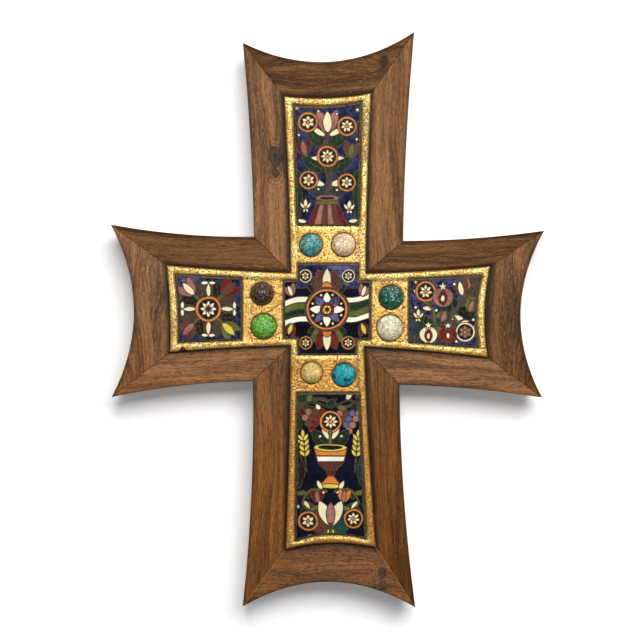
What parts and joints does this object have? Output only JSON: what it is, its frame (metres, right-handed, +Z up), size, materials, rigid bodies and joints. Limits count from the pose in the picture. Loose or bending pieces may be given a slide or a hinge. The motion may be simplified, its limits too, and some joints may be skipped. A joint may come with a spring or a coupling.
{
  "type": "enamel wall crucifix",
  "caption": "Wooden wall cross with hollow ends and mitred mouldings around a gilded inner cross of enamel plaques and glass cabochons, with a swinging ring hanger let into the back.",
  "frame": {"origin": "centre of the crossing, on the flat back face that lies against the wall", "axes": "+Z up the long upright, +X to the right seen from the front, +Y out of the back towards the wall; the enamelled front faces -Y"},
  "size_m": [0.2642, 0.0223, 0.3506],
  "materials": {
    "moulding_wood": "oiled, streaky brown grain with knots, satin",
    "board_wood": "bare, sawn and darkened with age",
    "gold_leaf": "burnished gold leaf over red bole and gesso on wood, worn at the edges",
    "enamel": "champleve enamel on copper, glossy cells between dark metal lines",
    "turquoise_glass": "crackled cabochon, foiled behind, polished",
    "cream_glass": "crackled cabochon, foiled behind, polished",
    "teal_glass": "crackled cabochon, foiled behind, polished",
    "white_glass": "crackled cabochon, foiled behind, polished",
    "cyan_glass": "crackled cabochon, foiled behind, polished",
    "straw_glass": "crackled cabochon, foiled behind, polished",
    "green_glass": "crackled cabochon, foiled behind, polished",
    "garnet_glass": "dark high cabochon, polished",
    "hanger_brass": "dull, darkened with age",
    "pin_steel": "dull, slightly rusted"
  },
  "bodies": {
    "cross": {"upright_board": "board_wood", "cross_board": "board_wood", "top_end_moulding": "moulding_wood", "top_right_moulding": "moulding_wood", "right_upper_moulding": "moulding_wood", "right_end_moulding": "moulding_wood", "right_lower_moulding": "moulding_wood", "bottom_right_moulding": "moulding_wood", "bottom_end_moulding": "moulding_wood", "bottom_left_moulding": "moulding_wood", "left_lower_moulding": "moulding_wood", "left_end_moulding": "moulding_wood", "left_upper_moulding": "moulding_wood", "top_left_moulding": "moulding_wood", "top_end_pin": "pin_steel", "top_right_pin": "pin_steel", "right_upper_pin": "pin_steel", "right_end_pin": "pin_steel", "right_lower_pin": "pin_steel", "bottom_right_pin": "pin_steel", "bottom_end_pin": "pin_steel", "bottom_left_pin": "pin_steel", "left_lower_pin": "pin_steel", "left_end_pin": "pin_steel", "left_upper_pin": "pin_steel", "top_left_pin": "pin_steel", "gilded_cross": "gold_leaf", "top_plaque": "enamel", "right_plaque": "enamel", "bottom_plaque": "enamel", "left_plaque": "enamel", "middle_plaque": "enamel", "turquoise_cabochon": "turquoise_glass", "cream_cabochon": "cream_glass", "teal_cabochon": "teal_glass", "white_cabochon": "white_glass", "cyan_cabochon": "cyan_glass", "straw_cabochon": "straw_glass", "green_cabochon": "green_glass", "garnet_cabochon": "garnet_glass", "hanger_strap": "hanger_brass", "hanger_screw": "hanger_brass"},
    "ring": {"hanger_ring": "hanger_brass"}
  },
  "joints": [
    {"name": "ring_swing", "type": "hinge", "parent": "cross", "child": "ring", "pos_m": [0, -0.00315, 0.106], "axis": [1, 0, 0], "range_deg": [0, 180]}
  ]
}
